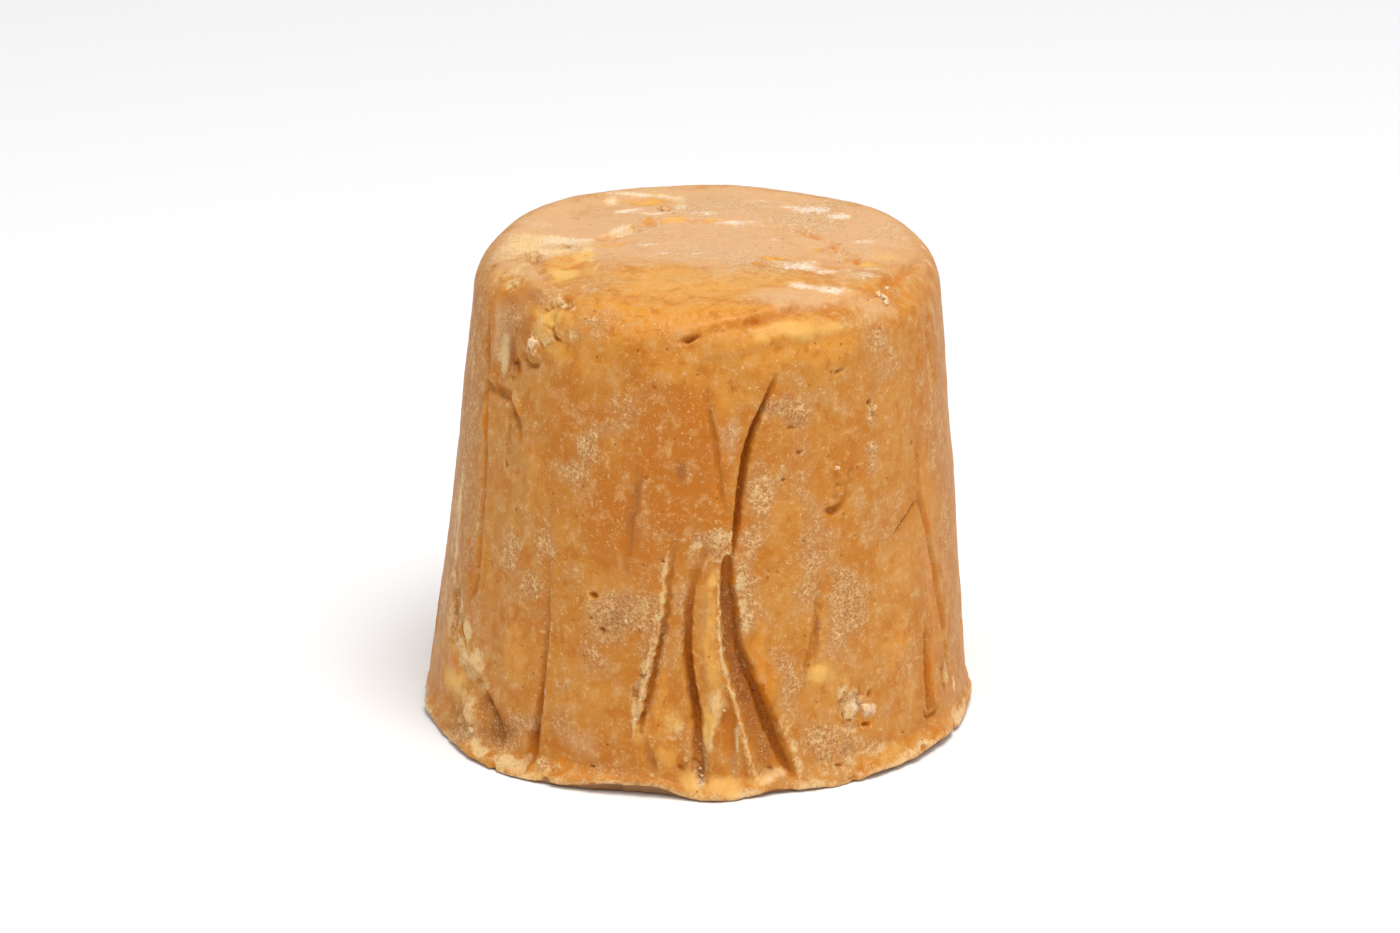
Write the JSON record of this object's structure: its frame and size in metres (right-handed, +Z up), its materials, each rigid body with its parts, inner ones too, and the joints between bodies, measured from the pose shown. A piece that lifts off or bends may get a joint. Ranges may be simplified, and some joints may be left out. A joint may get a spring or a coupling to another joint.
{
  "type": "jaggery block",
  "caption": "Solid block of cane jaggery cast in a lined, tapered mould, with lining creases down its wall and a rounded top rim.",
  "frame": {"origin": "middle of the base, on the surface that the block stands on", "axes": "+Z up through the top, -Y towards the side with the deep creases, +X to the right of that side"},
  "size_m": [0.1078, 0.1102, 0.0937],
  "materials": {
    "jaggery": "golden brown cast sugar, waxy on the rim, pale and crumbly where the lining tore it"
  },
  "bodies": {
    "root": {"jaggery_block": "jaggery"}
  },
  "joints": []
}
